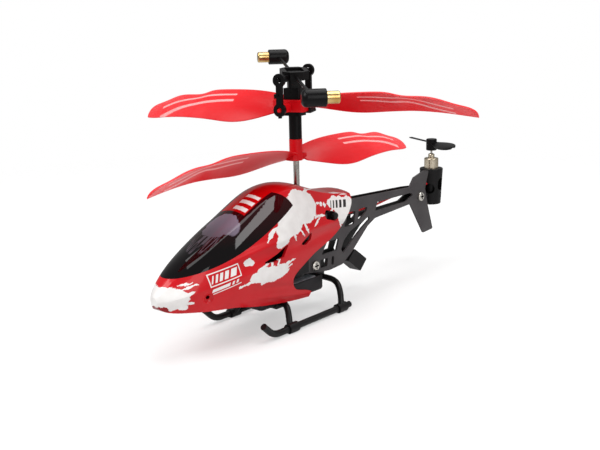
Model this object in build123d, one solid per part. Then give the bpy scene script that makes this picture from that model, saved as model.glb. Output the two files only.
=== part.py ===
from build123d import *
from math import atan2, cos, degrees, hypot, pi, radians, sin
import os

# Indoor coaxial helicopter, about 166 mm long. Millimetres throughout.
# The nose points along -Y, +X is the model's left side, +Z is up.
# The mast is the Z axis and the skids stand on z = 0.

# ---------------------------------------------------------------- driving dimensions
rotor_radius = 65.0
upper_azimuth = 12.6        # span direction of the upper rotor, degrees from +X
blade_lean = 1.8            # the upper blades' play: one tip rides high, the other low
lower_azimuth = 87.0        # span direction of the lower rotor
upper_rotor_z = 74.0        # height of the feathering pin
lower_rotor_z = 55.9
flybar_z = 83.9             # height of the see-saw pin
flybar_azimuth = -40.0      # direction of the lower end of the flybar
flybar_tilt = 7.7           # lean at rest, degrees
flybar_reach = 37.0         # mast to the middle of a weight
link_radius = 10.5          # mast to the middle of a link
link_share = sin(radians(flybar_azimuth + 90.0 - (upper_azimuth - 90.0)))
feather_tilt = flybar_tilt * link_share

inner_shaft_d = 1.1
outer_shaft_d = 2.1
outer_shaft_bore = 1.24
pin_d = 1.1
running_gap = 0.07

gear_module = 0.3
gear_teeth = 60
pinion_teeth = 10
gear_distance = gear_module * (gear_teeth + pinion_teeth) / 2 + 0.05
lower_gear_z = 33.6
upper_gear_z = 36.4
gear_face = 1.5
motor_x = 5.6
motor_y = -(gear_distance ** 2 - motor_x ** 2) ** 0.5
motor_d = 7.0

plate_inner = 1.4           # inner face of a side plate, from the centre plane
plate_outer = 2.2
wall = 0.9                  # cabin wall
skid_x = 13.8
skid_r = 1.15
skid_z = 1.5
tail_y = 88.0
tail_motor_d = 6.0

os.makedirs("parts", exist_ok=True)


# ---------------------------------------------------------------- small helpers
def save(shape, name):
    solids = shape.solids()
    body = solids[0] if len(solids) == 1 else Compound(children=list(solids))
    export_step(body, "parts/" + name + ".step")


def box(x0, x1, y0, y1, z0, z1):
    middle = ((x0 + x1) / 2, (y0 + y1) / 2, (z0 + z1) / 2)
    return Pos(*middle) * Box(x1 - x0, y1 - y0, z1 - z0)


def rod(start, end, radius):
    a = Vector(*start)
    b = Vector(*end)
    plane = Plane(origin=a, z_dir=b - a)
    return extrude(plane * Circle(radius), amount=(b - a).length)


def side_profile(points, corner, x0, x1):
    """A closed outline of (y, z) points, rounded and run from x0 to x1."""
    face = make_face(Polyline(*points, close=True))
    if corner:
        face = fillet(face.vertices(), corner)
    return extrude(Plane.YZ.offset(x0) * face, amount=x1 - x0)


def mirrored(shape):
    return mirror(shape, about=Plane.YZ)


# ---------------------------------------------------------------- cabin
# y, bottom z, bottom half width, belt z, belt half width, roof z, roof half width, crown z
cabin_stations = [
    (-66.9, 18.9, 0.9, 20.2, 1.3, 21.2, 0.7, 21.5),
    (-65.7, 17.4, 2.1, 20.3, 3.1, 22.6, 1.9, 23.2),
    (-62.2, 16.1, 4.2, 20.9, 5.9, 25.7, 3.3, 26.7),
    (-57.0, 15.3, 6.2, 21.8, 8.1, 28.9, 4.6, 30.3),
    (-47.5, 14.1, 8.4, 22.9, 10.6, 33.6, 6.0, 35.1),
    (-36.0, 12.2, 9.6, 24.0, 12.2, 38.7, 6.8, 40.5),
    (-25.0, 10.2, 9.9, 25.2, 12.8, 44.0, 6.8, 45.6),
    (-15.0, 8.9, 9.8, 27.0, 12.7, 46.6, 7.4, 48.4),
    (0.0, 7.8, 9.6, 30.0, 11.9, 44.4, 7.7, 45.6),
    (12.0, 7.4, 9.0, 32.8, 10.8, 41.5, 7.1, 42.4),
    (25.0, 7.4, 8.0, 35.0, 9.2, 39.0, 6.0, 39.4),
]


def cabin_section(station, inset):
    y, bottom_z, bottom_w, belt_z, belt_w, roof_z, roof_w, crown_z = station
    low = (bottom_w - inset, bottom_z + inset)
    belt = (belt_w - inset, belt_z)
    roof = (roof_w - inset * 0.8, roof_z - inset)
    crown = (0.0, crown_z - inset)

    def bulge(a, b, amount):
        length = hypot(b[0] - a[0], b[1] - a[1])
        out = ((b[1] - a[1]) / length, -(b[0] - a[0]) / length)
        return tuple((a[i] + b[i]) / 2 + out[i] * amount * length for i in (0, 1))

    def at(point, side=1):
        return Vector(side * point[0], y, point[1])

    lower_mid = bulge(low, belt, 0.05)
    upper_mid = bulge(belt, roof, 0.07)
    edges = [
        Line(at(low, -1), at(low)),
        ThreePointArc(at(low), at(lower_mid), at(belt)),
        ThreePointArc(at(belt), at(upper_mid), at(roof)),
        ThreePointArc(at(roof), at(crown), at(roof, -1)),
        ThreePointArc(at(roof, -1), at(upper_mid, -1), at(belt, -1)),
        ThreePointArc(at(belt, -1), at(lower_mid, -1), at(low, -1)),
    ]
    return Face(Wire(edges))


def cabin_loft(inset):
    sections = []
    for station in cabin_stations:
        moved = station
        if station is cabin_stations[0]:
            moved = (station[0] + inset,) + station[1:]
        scale = 0.35 if station is cabin_stations[0] else 1.0
        sections.append(cabin_section(moved, inset * scale))
    return loft(sections)


hull = cabin_loft(0.0)
cavity = cabin_loft(wall)
cavity = cavity + Pos(0, 30, 25) * Box(12, 12, 12)
shell = hull - cavity

# The screen wraps over the nose above this line.
screen_line = Spline((-67.0, 26.4), (-57.6, 27.0), (-43.0, 29.8), (-25.7, 36.0), (-13.6, 41.9))
screen_back = Spline((-13.6, 41.9), (-16.5, 45.6), (-24.5, 48.6), (-30.0, 56.0))
screen_top = Polyline((-30.0, 56.0), (-70.0, 56.0), (-70.0, 26.4), (-67.0, 26.4))
screen_face = make_face(screen_line + screen_back + screen_top)
screen_zone = extrude(Plane.YZ.offset(-20) * screen_face, amount=40)
windscreen = shell & screen_zone
shell = shell - screen_zone

# The back edge rakes forward to a notch, then the chin runs back to a point.
rear_edge = Spline((24.0, 46.0), (20.9, 38.6), (13.0, 31.6), (3.4, 27.0), (-6.0, 24.0), (-12.4, 20.9),
                   (-16.6, 17.2), (-15.6, 14.2), (-11.4, 12.0), (-5.3, 9.9))
rear_rest = Polyline((-5.3, 9.9), (-6.6, 6.5), (-6.6, 2.0), (40.0, 2.0), (40.0, 46.0), (24.0, 46.0))
rear_cut = extrude(Plane.YZ.offset(-20) * make_face(rear_edge + rear_rest), amount=40)
shell = shell - rear_cut
shell = shell - box(-7.4, 7.4, -42.0, 20.0, 4.0, 13.0)
mast_hole = Pos(0, 0, 44) * Cylinder(2.4, 20)
vent_front = side_profile(
    [(-32.2, 26.0), (-25.0, 28.0), (-18.9, 30.5), (-22.0, 26.4), (-26.4, 25.6)], 0.3, -20, 20)
vent_rear = side_profile(
    [(-13.4, 28.6), (-6.6, 32.0), (-7.6, 29.4), (-10.4, 28.0)], 0.4, -20, 20)
peg_slot = extrude(Plane.YZ.offset(-20) * Pos(5.6, 35.1) * Rot(0, 0, -16) * SlotOverall(7.6, 3.2),
                   amount=40)
shell = shell - mast_hole - vent_front - vent_rear - peg_slot
for side in (1, -1):
    shell = shell - Pos(side * 10.2, -53.0, 19.0) * Sphere(2.2)
save(shell, "cabin_shell")
save(windscreen, "windscreen")

# ---------------------------------------------------------------- side plates
plate_outline = [
    (-4.4, 14.2), (9.1, 12.1), (15.0, 11.5), (22.6, 12.0), (29.1, 15.9), (39.0, 23.8),
    (43.8, 26.0), (68.8, 27.4), (78.8, 13.2), (86.2, 13.7), (82.0, 25.0), (79.8, 32.3),
    (82.6, 39.4), (79.0, 39.8), (71.4, 38.0), (68.2, 34.4), (30.0, 36.1), (13.0, 33.0),
    (4.4, 27.2), (4.4, 20.6), (-4.4, 20.6)]
plain_outline = [
    (-4.4, 14.2), (9.1, 12.1), (15.0, 11.5), (22.6, 12.0), (29.1, 15.9), (39.0, 23.8),
    (43.8, 26.0), (68.8, 27.4), (80.4, 26.0), (81.6, 33.2), (68.2, 34.4), (30.0, 36.1),
    (13.0, 33.0), (4.4, 27.2), (4.4, 20.6), (-4.4, 20.6)]
plate_windows = [
    [(45.4, 32.1), (69.4, 32.0), (70.6, 30.9), (65.4, 28.9), (43.9, 28.7)],
    [(24.9, 31.5), (31.2, 31.1), (30.2, 26.3), (24.3, 25.9)],
    [(33.3, 31.5), (38.8, 31.4), (38.1, 29.6), (33.9, 27.3), (32.7, 27.7)],
    [(39.9, 27.5), (32.6, 25.4), (26.7, 23.5), (23.8, 21.0), (22.0, 18.0), (23.2, 16.2),
     (30.4, 20.9), (35.6, 24.0), (40.2, 26.2)],
    [(13.8, 22.6), (20.9, 22.4), (19.3, 18.3), (10.3, 18.2)],
    [(9.6, 16.5), (14.1, 16.4), (13.6, 13.4), (9.8, 13.4)],
    [(-1.8, 18.0), (3.0, 17.6), (3.0, 14.6), (-1.8, 15.2)],
]
front_screw = (6.3, 15.2)
tail_screw = (76.1, 29.4)
boom_screw_hole_r = 0.55


def side_plate(outline):
    plate = side_profile(outline, 0.5, plate_inner, plate_outer)
    for window in plate_windows:
        plate = plate - side_profile(window, 0.4, 0, 4)
    slot = Pos(16.9, 14.8) * Rot(0, 0, 82) * SlotOverall(3.4, 1.5)
    plate = plate - extrude(Plane.YZ * slot, amount=4)
    for y, z in (front_screw, tail_screw):
        plate = plate - rod((0, y, z), (4, y, z), boom_screw_hole_r)
    return plate


save(side_plate(plate_outline), "left_frame_plate")
save(mirrored(side_plate(plain_outline)), "right_frame_plate")


def pan_screw(y, z):
    """Pan-head cross-recess screw, head on the plate's outer face."""
    head = Pos(0, 0, 0.55) * Cylinder(1.95, 1.1)
    head = fillet(head.faces().sort_by(Axis.Z)[-1].edges(), 0.6)
    head = head - Pos(0, 0, 1.0) * Box(2.3, 0.6, 0.9) - Pos(0, 0, 1.0) * Box(0.6, 2.3, 0.9)
    shank = Pos(0, 0, -0.9) * Cylinder(boom_screw_hole_r, 1.8)
    screw = Rot(0, 90, 0) * (head + shank)
    return Pos(plate_outer, y, z) * screw


for label, spot in (("front", front_screw), ("tail", tail_screw)):
    save(pan_screw(*spot), label + "_screw_left")
    save(mirrored(pan_screw(*spot)), label + "_screw_right")

# ---------------------------------------------------------------- chassis block and bearings
web = plate_inner
block = box(-9.9, 9.9, -13.6, -4.7, 17.0, 28.0)
block = fillet(block.edges().filter_by(Axis.Z), 1.6)
block = block + box(-3.4, 3.4, -13.6, 4.0, 22.0, 31.5)
block = block + box(-web, web, -4.7, 12.7, 12.6, 31.5)
block = block + box(-3.0, 3.0, -13.6, -11.4, 28.0, 41.2)
block = block + box(-web, web, 10.6, 12.7, 31.0, 41.2)
block = block + box(-3.0, 3.0, -13.6, 10.0, 39.2, 41.2) + box(-web, web, 9.0, 12.7, 39.2, 41.2)
block = block + Pos(0, 0, 40.2) * Cylinder(3.6, 2.0)
for side in (1, -1):
    block = block - Pos(side * motor_x, motor_y, 22.5) * Cylinder(motor_d / 2, 20)
bearing_r = 2.2
block = block - Pos(0, 0, 40.2) * Cylinder(bearing_r, 4)
block = block - Pos(0, 0, 30.9) * Cylinder(1.6, 2.4)
block = block - Pos(0, 0, 23.0) * Cylinder(0.95, 22)
for y, z in (front_screw,):
    block = block - rod((-4, y, z), (4, y, z), boom_screw_hole_r)
save(block, "chassis_block")

upper_bearing = Pos(0, 0, 40.2) * Cylinder(bearing_r, 2.0)
upper_bearing = upper_bearing - Pos(0, 0, 40.2) * Cylinder(outer_shaft_d / 2 + running_gap, 4)
save(upper_bearing, "upper_bearing")
lower_bearing = Pos(0, 0, 30.9) * Cylinder(1.6, 2.4)
lower_bearing = lower_bearing & box(-3, 3, -3, 3, 29.7, 31.5)
lower_bearing = lower_bearing - Pos(0, 0, 30.9) * Cylinder(inner_shaft_d / 2 + running_gap, 4)
save(lower_bearing, "lower_bearing")


def canopy_peg():
    arm = box(web + 2.0, 9.6, 2.4, 4.0, 28.4, 30.6) + box(8.4, 9.6, 2.4, 8.8, 28.4, 30.6)
    post = box(8.4, 9.6, 6.2, 8.8, 28.4, 36.0)
    peg = rod((9.0, 7.5, 34.6), (11.7, 7.5, 34.6), 1.25)
    tip_edge = peg.faces().sort_by(Axis.X)[-1].edges()
    return arm + post + fillet(tip_edge, 0.4)


save(canopy_peg(), "canopy_peg_left")
save(mirrored(canopy_peg()), "canopy_peg_right")

# ---------------------------------------------------------------- power: battery, board, socket
tray = box(-5.6, 5.6, -26.0, 7.6, 6.8, 12.2)
tray = fillet(tray.edges().filter_by(Axis.Z), 1.8)
tray = fillet(tray.faces().sort_by(Axis.Z)[0].edges(), 1.2)
tray = tray - box(-4.8, 4.8, -25.2, 6.8, 7.6, 13.0)
save(tray, "battery_tray")
battery = box(-4.7, 4.7, -25.0, 5.0, 7.7, 12.3)
battery = fillet(battery.edges().filter_by(Axis.Y), 1.1)
save(battery, "battery")

board = box(-7.4, 7.4, -38.0, -15.4, 16.0, 16.8)
for chip in ((-5.0, -0.6, -35.5, -30.5, 1.0), (1.2, 5.2, -33.0, -29.0, 0.8),
             (-4.4, -1.4, -27.0, -22.6, 1.1), (1.6, 6.0, -25.4, -20.4, 2.4)):
    x0, x1, y0, y1, tall = chip
    board = board + box(x0, x1, y0, y1, 16.8, 16.8 + tall)
board = board + Pos(-3.4, -18.4, 17.7) * Cylinder(1.6, 1.8)
save(board, "circuit_board")
post_pair = box(-1.2, 1.2, -15.4, -13.6, 16.0, 19.0) + box(-7.0, 7.0, -15.4, -13.6, 17.4, 18.6)
save(post_pair, "board_bracket")

socket = side_profile([(30.2, 16.4), (37.8, 10.9), (33.6, 6.9), (26.0, 12.6)], 0.5, -2.5, 2.5)
socket = socket - (side_profile(plain_outline, 0, plate_inner - 0.02, plate_outer + 0.4))
socket = socket - mirrored(side_profile(plain_outline, 0, plate_inner - 0.02, plate_outer + 0.4))
socket = Compound(children=[socket.solids().sort_by(SortBy.VOLUME)[-1]])
save(socket, "charge_socket")

# ---------------------------------------------------------------- landing gear
def swept_rod(path, radius):
    plane = Plane(origin=path @ 0, z_dir=path % 0)
    return sweep(plane * Circle(radius), path=path)


leg_r = 1.1
socket_len = 4.6


def skid():
    points = [(skid_x, -33.9, 5.8), (skid_x, -29.2, skid_z), (skid_x, 11.6, skid_z)]
    tube = swept_rod(FilletPolyline(*points, radius=7.0), skid_r)
    return tube


def leg(points, saddle, socket_y):
    side = swept_rod(Spline(*points), leg_r)
    collar = rod((skid_x, socket_y - socket_len / 2, skid_z),
                 (skid_x, socket_y + socket_len / 2, skid_z), skid_r + 0.6)
    collar = collar & box(0, 20, -60, 60, 0, 6)
    bore = rod((skid_x, socket_y - 5, skid_z), (skid_x, socket_y + 5, skid_z), skid_r)
    half = side + collar
    whole = half + mirrored(half) + saddle
    return whole - bore - mirrored(bore)


tray_clear = box(-5.6, 5.6, -40.0, 20.0, 6.8, 13.0)
front_saddle = fillet(box(-6.8, 6.8, -19.0, -14.8, 6.1, 12.2).edges().filter_by(Axis.Y), 1.0)
front_points = [(5.9, -16.8, 7.8), (9.2, -17.5, 7.5), (11.2, -18.7, 5.4), (12.9, -20.0, 2.2)]
front_leg = leg(front_points, front_saddle, -19.9) - tray_clear
save(front_leg, "front_leg")
rear_saddle = box(-web, web, 9.4, 12.7, 9.6, 12.6)
rear_points = [(0, 11.0, 10.0), (4.5, 10.8, 10.0), (10.0, 9.4, 9.2), (13.2, 7.4, 5.2),
               (skid_x, 6.7, 2.0)]
rear_leg = leg(rear_points, rear_saddle, 6.7) - box(-8, 8, -40, 7.6, 6.8, 13.0)
save(rear_leg, "rear_leg")
save(skid(), "left_skid")
save(mirrored(skid()), "right_skid")

# ---------------------------------------------------------------- motors, pinions, main gears
def gear(teeth, face, backlash):
    pitch_r = gear_module * teeth / 2
    root_r = pitch_r - 1.2 * gear_module
    tip_r = pitch_r + 0.9 * gear_module
    half = (pi / 2 / teeth) * (1 - backlash)
    lean = 0.36 * gear_module / pitch_r
    points = []
    for tooth in range(teeth):
        middle = 2 * pi * tooth / teeth
        for radius, angle in ((root_r, -half - lean * 1.15), (tip_r, -half + lean * 0.9),
                              (tip_r, half - lean * 0.9), (root_r, half + lean * 1.15)):
            points.append((radius * cos(middle + angle), radius * sin(middle + angle)))
    return extrude(make_face(Polyline(*points, close=True)), amount=face)


def main_gear(z, bore):
    wheel = gear(gear_teeth, gear_face, 0.2)
    wheel = wheel - Pos(0, 0, gear_face) * Cylinder(7.6, 0.9) - Cylinder(7.6, 0.6)
    wheel = wheel + Pos(0, 0, gear_face / 2) * Cylinder(2.3, gear_face)
    for turn in range(5):
        wheel = wheel - Rot(0, 0, 72 * turn) * Pos(4.9, 0, 0.5) * Cylinder(1.7, 5)
    return Pos(0, 0, z) * (wheel - Cylinder(bore, 9))


save(main_gear(lower_gear_z, inner_shaft_d / 2), "lower_main_gear")
save(main_gear(upper_gear_z, outer_shaft_d / 2), "upper_main_gear")


def motor(side):
    can = Pos(0, 0, 22.5) * Cylinder(motor_d / 2, 14.0)
    can = fillet(can.edges(), 0.5)
    can = can + Pos(0, 0, 29.8) * Cylinder(1.2, 0.6)
    can = can - Pos(0, 0, 26) * Cylinder(0.4 + running_gap, 12)
    return Pos(side * motor_x, motor_y, 0) * can


def pinion(side, z):
    wheel = gear(pinion_teeth, gear_face + 0.4, 0.25) - Pos(0, 0, 0) * Cylinder(0.4, 9)
    to_mast = degrees(atan2(-motor_y, -side * motor_x))
    gap = 180.0 / pinion_teeth
    # A main gear tooth and a pinion space meet on the line of centres.
    mast_phase = (to_mast + 180.0) % (360.0 / gear_teeth)
    turn = to_mast + gap + mast_phase * gear_teeth / pinion_teeth
    return Pos(side * motor_x, motor_y, z) * Rot(0, 0, turn) * wheel


for name, side, gear_z in (("left", 1, lower_gear_z), ("right", -1, upper_gear_z)):
    save(motor(side), name + "_motor")
    save(pinion(side, gear_z - 0.2), name + "_pinion")
    shaft = Pos(side * motor_x, motor_y, (22 + gear_z + 2) / 2) * Cylinder(0.4, gear_z + 2 - 22)
    save(shaft, name + "_motor_shaft")

# ---------------------------------------------------------------- shafts
inner_shaft = rod((0, 0, 29.0), (0, 0, 73.2), inner_shaft_d / 2)
outer_shaft = rod((0, 0, 35.6), (0, 0, 61.6), outer_shaft_d / 2)
outer_shaft = outer_shaft - rod((0, 0, 30), (0, 0, 70), outer_shaft_bore / 2)
save(inner_shaft, "inner_shaft")
save(outer_shaft, "outer_shaft")

# ---------------------------------------------------------------- rotor blades
# radius, leading edge (across, up), trailing edge (across, up), camber
blade_stations = [
    (2.4, 3.0, 1.4, 3.0, -1.3, 0.0),
    (6.0, 4.0, 2.5, 5.0, -2.1, 0.3),
    (12.0, 4.6, 3.6, 6.8, -3.4, 0.7),
    (19.0, 5.0, 4.3, 7.6, -4.4, 1.1),
    (27.0, 5.1, 4.6, 7.0, -4.3, 1.2),
    (37.0, 5.0, 4.2, 5.4, -3.6, 1.1),
    (48.0, 5.3, 3.0, 3.5, -3.5, 0.9),
    (57.0, 5.6, 1.1, 1.8, -4.1, 0.6),
    (62.0, 5.0, -0.4, 0.5, -4.5, 0.4),
    (64.2, 4.0, -1.5, -0.4, -4.6, 0.2),
    (rotor_radius, 2.9, -2.6, -0.9, -4.6, 0.1),
]
blade_thick = 0.9
edge_thick = 0.35


def blade_section(station, hand):
    """hand is +1 when the rotor turns counter-clockwise seen from above."""
    radius, lead, lead_up, trail, trail_up, camber = station
    front = (hand * lead, lead_up)
    back = (-hand * trail, trail_up)
    chord = hypot(front[0] - back[0], front[1] - back[1])
    normal = (-(front[1] - back[1]) / chord * hand, (front[0] - back[0]) / chord * hand)
    middle = ((front[0] + back[0]) / 2, (front[1] + back[1]) / 2)
    thick = min(blade_thick, 0.3 + chord * 0.12)

    def point(base, lift):
        return Vector(radius, base[0] + normal[0] * lift, base[1] + normal[1] * lift)

    over = edge_thick / 2
    edges = [
        ThreePointArc(point(front, over), point(middle, camber + thick / 2), point(back, over)),
        Line(point(back, over), point(back, -over)),
        ThreePointArc(point(back, -over), point(middle, camber - thick / 2), point(front, -over)),
        Line(point(front, -over), point(front, over)),
    ]
    return Face(Wire(edges))


def blade(hand):
    return loft([blade_section(station, hand) for station in blade_stations])


def blade_pair(hand):
    one = blade(hand)
    return one, Rot(0, 0, 180) * one


# Lower rotor: blades on a plain hub, in the rotor's own frame first.
lower_hub = Pos(0, 0, 2.4) * Cylinder(2.3, 7.4)
lower_root = box(-3.4, 3.4, -1.9, 1.9, -1.2, 1.2)
lower_root = fillet(lower_root.edges().filter_by(Axis.X), 0.6)
lower_rotor = lower_hub + lower_root
for one in blade_pair(1):
    lower_rotor = lower_rotor + one
lower_rotor = lower_rotor - Pos(0, 0, 2) * Cylinder(outer_shaft_d / 2, 30)
lower_rotor = Pos(0, 0, lower_rotor_z) * Rot(0, 0, lower_azimuth) * lower_rotor
save(lower_rotor, "lower_rotor")

# Upper rotor: a ring that rocks on the feathering pin.
yoke = box(-6.1, 6.1, -5.2, 5.2, -1.7, 2.3)
yoke = fillet(yoke.edges().filter_by(Axis.Z), 1.2)
arm_box = box(-1.3, 1.3, -9.5, 9.5, -1.2, 1.2)
pins = rod((0, -11.5, 0), (0, 11.5, 0), 0.6)
upper_rotor = yoke + arm_box + pins
for one in blade_pair(-1):
    upper_rotor = upper_rotor + Rot(0, -blade_lean, 0) * one
neck_hole = box(-3.9, 3.9, -4.0, 4.0, -9, 9)


def blade_clip():
    plate = box(3.9, 7.0, -2.1, 2.1, -2.5, -1.7)
    cap = box(6.1, 7.0, -2.1, 2.1, -2.5, 3.6)
    return fillet(cap.edges().filter_by(Axis.Z), 0.4) + plate


clip = blade_clip() - rod((0, 0, 0), (7.3, 0, 0), pin_d / 2 + running_gap)
clips = [clip, Rot(0, 0, 180) * clip]
pin_bore = rod((-7.3, 0, 0), (7.3, 0, 0), pin_d / 2 + running_gap)
upper_rotor = upper_rotor - neck_hole - pin_bore
for one in clips:
    upper_rotor = upper_rotor - one
upper_place = Pos(0, 0, upper_rotor_z) * Rot(0, 0, upper_azimuth)
feathered = upper_place * Rot(feather_tilt, 0, 0)
save(feathered * upper_rotor, "upper_rotor")
save(feathered * clips[0], "blade_clip_a")
save(feathered * clips[1], "blade_clip_b")
save(upper_place * rod((-6.9, 0, 0), (6.9, 0, 0), pin_d / 2), "feather_pin")

# ---------------------------------------------------------------- rotor head
flybar_place = Pos(0, 0, flybar_z) * Rot(0, 0, flybar_azimuth)
sleeve = rod((0, 0, 62.1), (0, 0, 70.6), 2.22)
neck = box(-3.2, 3.2, -2.6, 2.6, -3.8, 5.6)
neck = fillet(neck.edges().filter_by(Axis.Z), 0.7)
head = sleeve + upper_place * neck
fork = Pos(0, 0, -2.1) * Box(4.4, 4.6, 7.0)
fork = fillet(fork.edges().filter_by(Axis.Z), 0.7)
head = head + flybar_place * fork
head = head - rod((0, 0, 60), (0, 0, 73.2), inner_shaft_d / 2)
head = head - upper_place * rod((-9, 0, 0), (9, 0, 0), pin_d / 2)
head = head - flybar_place * rod((0, -9, 0), (0, 9, 0), pin_d / 2)
save(head, "rotor_head")
save(flybar_place * rod((0, -4.5, 0), (0, 4.5, 0), pin_d / 2), "seesaw_pin")

# ---------------------------------------------------------------- flybar
tilted = flybar_place * Rot(0, flybar_tilt, 0)
link_turn = (upper_azimuth - 90.0) - flybar_azimuth
ring_points = [(5.2, -2.2), (5.2, 2.2), (3.0, 4.6), (-3.0, 4.6), (-5.2, 2.2), (-5.2, -2.2),
               (-3.0, -4.6), (3.0, -4.6)]
ring = Pos(0, 0, -1.0) * extrude(make_face(Polyline(*ring_points, close=True)), amount=2.9)
arms = box(0, 9.3, -1.1, 1.1, -1.0, 1.0)
arm_pin = rod((0, 0, 0), (11.5, 0, 0), 0.6)
for turn in (link_turn, link_turn + 180):
    ring = ring + Rot(0, 0, turn) * (arms + arm_pin)
ring = ring - Box(7.0, 6.0, 9)
ring = ring - rod((0, -9, 0), (0, 9, 0), pin_d / 2 + running_gap)
rod_r = 0.55
for side in (1, -1):
    ring = ring - rod((side * 3.4, 0, 0), (side * 9, 0, 0), rod_r)
save(tilted * ring, "flybar_ring")


def weight_parts():
    """Weight at the +x end: a plastic barrel with a brass slug in its +y end."""
    barrel = rod((0, -3.85, 0), (0, 3.9, 0), 2.8)
    barrel = fillet(barrel.faces().sort_by(Axis.Y)[0].edges(), 1.7)
    barrel = fillet(barrel.faces().sort_by(Axis.Y)[-1].edges(), 0.3)
    slug = rod((0, 0.6, 0), (0, 8.1, 0), 1.95)
    slug = fillet(slug.faces().sort_by(Axis.Y)[-1].edges(), 0.5)
    bar = rod((3.5 - flybar_reach, 0, 0), (0, 0, 0), rod_r)
    slug = slug - bar
    barrel = barrel - slug - bar
    return barrel, slug, bar


for name, turn in (("a", 0), ("b", 180)):
    barrel, slug, bar = weight_parts()
    place = tilted * Rot(0, 0, turn) * Pos(flybar_reach, 0, 0)
    save(place * barrel, "flybar_weight_" + name)
    save(place * slug, "flybar_slug_" + name)
    save(place * bar, "flybar_rod_" + name)


# ---------------------------------------------------------------- links
def link(side):
    """side is +1 for the link over the lower_azimuth side, -1 for the other."""
    span = flybar_z - upper_rotor_z
    eye_r = 2.2
    eyes = Pos(0, span / 2) * Circle(eye_r) + Pos(0, -span / 2) * Circle(eye_r)
    bar = eyes + Rectangle(2.2, span) + Pos(0, -span / 2 - 2.2) * Rectangle(0.8, 1.0)
    for hole in (span / 2, -span / 2):
        bar = bar - Pos(0, hole) * Circle(0.95)
    flat = extrude(Plane.XZ * bar, amount=0.6, both=True)
    flat = flat - Pos(0, -0.6, 0) * Rot(90, 0, 0) * Cylinder(0.45, 0.5)
    drop = link_radius * link_share * radians(flybar_tilt)
    middle = (flybar_z + upper_rotor_z) / 2 - side * drop
    turn = upper_azimuth if side > 0 else upper_azimuth + 180
    return Rot(0, 0, turn) * Pos(0, -link_radius, middle) * flat


save(link(1), "link_a")
save(link(-1), "link_b")

# ---------------------------------------------------------------- tail
bracket = Pos(0, tail_y, 32.0) * Cone(4.15, 4.95, 15.4)
bracket = fillet(bracket.edges(), 0.4)
tongue = box(-web, web, 75.0, 85.5, 27.6, 32.6)
bracket = bracket + tongue
bracket = bracket - Pos(0, tail_y, 33.9) * Cylinder(tail_motor_d / 2, 15.4)
bracket = bracket - rod((-4, *tail_screw), (4, *tail_screw), boom_screw_hole_r)
bracket = bracket - box(-1.1, 1.1, 83.0, 86.0, 32.9, 34.2)
for turn, z, wide, tall in ((-64, 31.3, 4.0, 4.2), (4, 33.0, 3.6, 5.4), (12, 27.9, 1.2, 2.6), (150, 31.5, 2.6, 5.0)):
    window = Plane.XZ * SlotOverall(tall + 0.01, wide, rotation=90)
    window = extrude(window, amount=-9)
    bracket = bracket - Pos(0, tail_y, z) * Rot(0, 0, turn - 90) * window
save(bracket, "tail_bracket")

tail_can = rod((0, tail_y, 34.0), (0, tail_y, 44.0), tail_motor_d / 2)
tail_can = fillet(tail_can.faces().sort_by(Axis.Z)[-1].edges(), 0.4)
tail_boss = rod((0, tail_y, 44.0), (0, tail_y, 45.9), 1.35)
tail_can = tail_can + fillet(tail_boss.faces().sort_by(Axis.Z)[-1].edges(), 0.7)
tail_can = tail_can - rod((0, tail_y, 36.0), (0, tail_y, 50.0), 0.4 + running_gap)
save(tail_can, "tail_motor")
save(rod((0, tail_y, 37.0), (0, tail_y, 51.2), 0.4), "tail_motor_shaft")

# radius, half chord, rise of the leading edge
prop_stations = [(1.2, 1.2, 0.6), (4.0, 1.5, 0.6), (7.5, 2.6, 0.8), (11.5, 3.2, 0.9), (15.0, 2.8, 0.8),
                 (17.4, 1.7, 0.5), (18.3, 0.7, 0.2)]


def prop_section(station):
    radius, half, rise = station
    edges = [
        ThreePointArc(Vector(radius, -half, -rise + 0.2), Vector(radius, 0, 0.6),
                      Vector(radius, half, rise + 0.2)),
        Line(Vector(radius, half, rise + 0.2), Vector(radius, half, rise - 0.2)),
        ThreePointArc(Vector(radius, half, rise - 0.2), Vector(radius, 0, 0.1),
                      Vector(radius, -half, -rise - 0.2)),
        Line(Vector(radius, -half, -rise - 0.2), Vector(radius, -half, -rise + 0.2)),
    ]
    return Face(Wire(edges))


prop_blade = loft([prop_section(station) for station in prop_stations])
prop_blade = Pos(0, 0, 0.6) * prop_blade
prop = fillet(Cylinder(2.25, 4.9).edges(), 0.4) + prop_blade + Rot(0, 0, 180) * prop_blade
prop = prop - Pos(0, 0, -1) * Cylinder(0.4, 5.6)
save(Pos(0, tail_y, 49.7) * Rot(0, 0, -30) * prop, "tail_rotor")

# ---------------------------------------------------------------- tail wires
wire_r = 0.4


def wire(points):
    return swept_rod(FilletPolyline(*points, radius=3.0), wire_r)


red_points = [(0.55, 12.9, 32.2), (0.55, 24.0, 30.6), (0.55, 44.0, 30.4), (0.55, 66.0, 32.9),
              (0.55, 84.8, 33.5)]
black_points = [(-0.55, 12.9, 31.4), (-0.55, 26.0, 29.6), (-0.55, 44.0, 29.6),
                (-0.55, 66.0, 33.2), (-0.55, 84.8, 33.6)]
save(wire(red_points), "tail_wire_red")
save(wire(black_points), "tail_wire_black")
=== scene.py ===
# %% [markdown]
# # A small indoor helicopter with two rotors on one mast
# The frame that this lesson starts from is an engineering model: every plastic part, screw, gear and shaft
# is already there at its real size, in metres, with the nose along -Y and the skids on z = 0.
# Blender's work is the look: lacquer, smoked screen, moulded nylon, brass and steel, a pouch cell and a
# bell for the tail motor, and the light that shows them. No mesh of the frame is moved or changed.

# %% Load the frame
import math

import bmesh
import bpy
from mathutils import Matrix, Vector


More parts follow.
